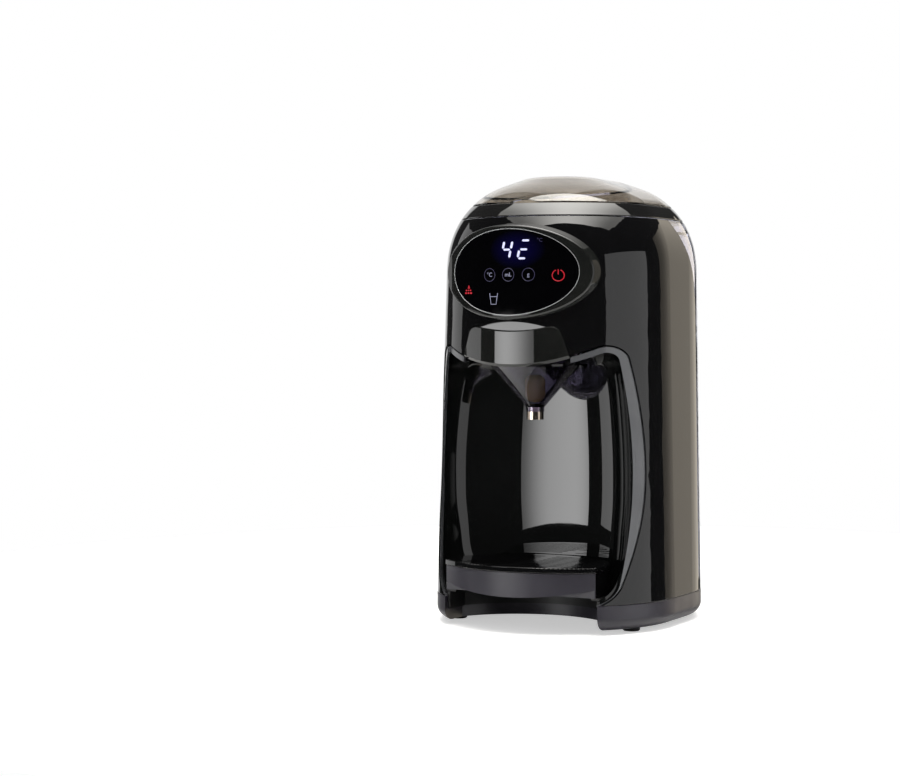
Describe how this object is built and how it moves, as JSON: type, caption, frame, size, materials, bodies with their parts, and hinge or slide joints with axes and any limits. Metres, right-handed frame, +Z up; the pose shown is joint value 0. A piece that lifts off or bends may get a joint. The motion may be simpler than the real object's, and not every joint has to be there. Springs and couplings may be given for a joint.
{
  "type": "baby formula maker",
  "caption": "Counter appliance that heats water, doses powder from a lidded hopper and mixes both through a funnel drawer into a bottle in an open bay, with a slide-out tray and rear tank",
  "frame": {"origin": "middle of the footprint on the table", "axes": "+Z up, -Y is the front with the bottle bay and display, +X points to the right when facing the front"},
  "size_m": [0.19, 0.2246, 0.34],
  "materials": {
    "body_gloss": "high gloss black moulding",
    "skirt_satin": "satin charcoal moulding",
    "black_plastic": "plain black moulding",
    "rubber_black": "matt rubber",
    "screw_steel": "plated steel",
    "bay_gloss": "high gloss black",
    "trim_gloss": "pale gloss bevel",
    "bezel_gloss": "gloss dark grey",
    "display_black": "black tinted window",
    "board_green": "solder resist",
    "light_guide": "opal",
    "motor_metal": "drawn steel can",
    "gear_plastic": "natural acetal",
    "dosing_plastic": "white food grade plastic",
    "tank_smoke": "smoky clear moulding",
    "dome_smoke": "smoky clear moulding",
    "silicone": "translucent silicone",
    "funnel_smoke": "glossy smoky moulding",
    "nozzle_steel": "bright steel tube",
    "cast_aluminium": "die cast"
  },
  "bodies": {
    "housing": {"base_deck": "black_plastic", "base_pan": "black_plastic", "base_screws": "screw_steel", "base_skirt": "skirt_satin", "bay_liner": "bay_gloss", "bay_trim": "trim_gloss", "board_bracket": "black_plastic", "body_shell": "body_gloss", "control_board": "board_green", "cord_gland": "rubber_black", "deck_screws": "screw_steel", "digit_module": "black_plastic", "display_bezel": "bezel_gloss", "display_board": "board_green", "display_glass": "display_black", "dosing_motor": "motor_metal", "drawer_guides": "black_plastic", "drive_deck": "black_plastic", "flow_meter": "gear_plastic", "heater_block": "cast_aluminium", "heater_bracket": "black_plastic", "hose_heater": "silicone", "hose_pump": "silicone", "hose_tank": "silicone", "hot_water_spout": "nozzle_steel", "key_lights": "light_guide", "powder_chute": "black_plastic", "pump_mounts": "rubber_black", "rear_bulkhead": "black_plastic", "rubber_feet": "rubber_black", "socket_seal": "silicone", "tank_socket": "black_plastic", "thermal_fuse": "motor_metal", "tray_ledge": "black_plastic", "water_pump": "motor_metal"},
    "tray": {"drip_tray": "skirt_satin"},
    "tray_top": {"tray_cover": "body_gloss"},
    "drawer": {"drawer_front": "bezel_gloss", "drawer_frame": "black_plastic", "mixing_funnel": "funnel_smoke", "funnel_nozzle": "nozzle_steel", "funnel_seal": "silicone"},
    "hopper": {"powder_hopper": "tank_smoke", "powder_baffle": "tank_smoke", "hopper_rim": "body_gloss", "lid_hinge_pin": "screw_steel", "lid_seal": "silicone"},
    "lid": {"lid_dome": "dome_smoke"},
    "rotor": {"dosing_gear": "gear_plastic", "dosing_shaft": "screw_steel", "dosing_wheel": "dosing_plastic", "stirrer": "dosing_plastic"},
    "pinion": {"drive_pinion": "gear_plastic"},
    "tank": {"water_tank": "tank_smoke", "tank_top": "tank_smoke", "tank_valve": "silicone", "float_guide": "gear_plastic"},
    "cap": {"tank_cap": "black_plastic"},
    "float": {"water_float": "gear_plastic", "float_magnet": "motor_metal"}
  },
  "joints": [
    {"name": "tray_slide", "type": "slide", "parent": "housing", "child": "tray", "axis": [0, -1, 0], "range_m": [0, 0.11]},
    {"name": "cover_lift", "type": "slide", "parent": "tray", "child": "tray_top", "axis": [0, 0, 1], "range_m": [0, 0.03]},
    {"name": "drawer_slide", "type": "slide", "parent": "housing", "child": "drawer", "axis": [0, -1, 0], "range_m": [0, 0.09]},
    {"name": "hopper_lift", "type": "slide", "parent": "housing", "child": "hopper", "axis": [0, 0, 1], "range_m": [0, 0.1]},
    {"name": "lid_hinge", "type": "hinge", "parent": "hopper", "child": "lid", "pos_m": [0, 0.0952, 0.316], "axis": [-1, 0, 0], "range_deg": [0, 75]},
    {"name": "rotor_spin", "type": "hinge", "parent": "hopper", "child": "rotor", "pos_m": [0, -0.024, 0.26], "axis": [0, 0, 1], "continuous": true},
    {"name": "motor_spin", "type": "hinge", "parent": "housing", "child": "pinion", "pos_m": [0, 0.00975, 0.237], "axis": [0, 0, 1], "continuous": true},
    {"name": "tank_slide", "type": "slide", "parent": "housing", "child": "tank", "axis": [0, 1, 0], "range_m": [0, 0.1]},
    {"name": "cap_turn", "type": "hinge", "parent": "tank", "child": "cap", "pos_m": [0, 0.074, 0.3], "axis": [0, 0, 1], "range_deg": [0, 60]},
    {"name": "float_rise", "type": "slide", "parent": "tank", "child": "float", "axis": [0, 0, 1], "range_m": [0, 0.02]}
  ],
  "couplings": [
    {"joint": "motor_spin", "follows": "rotor_spin", "ratio": -2}
  ]
}
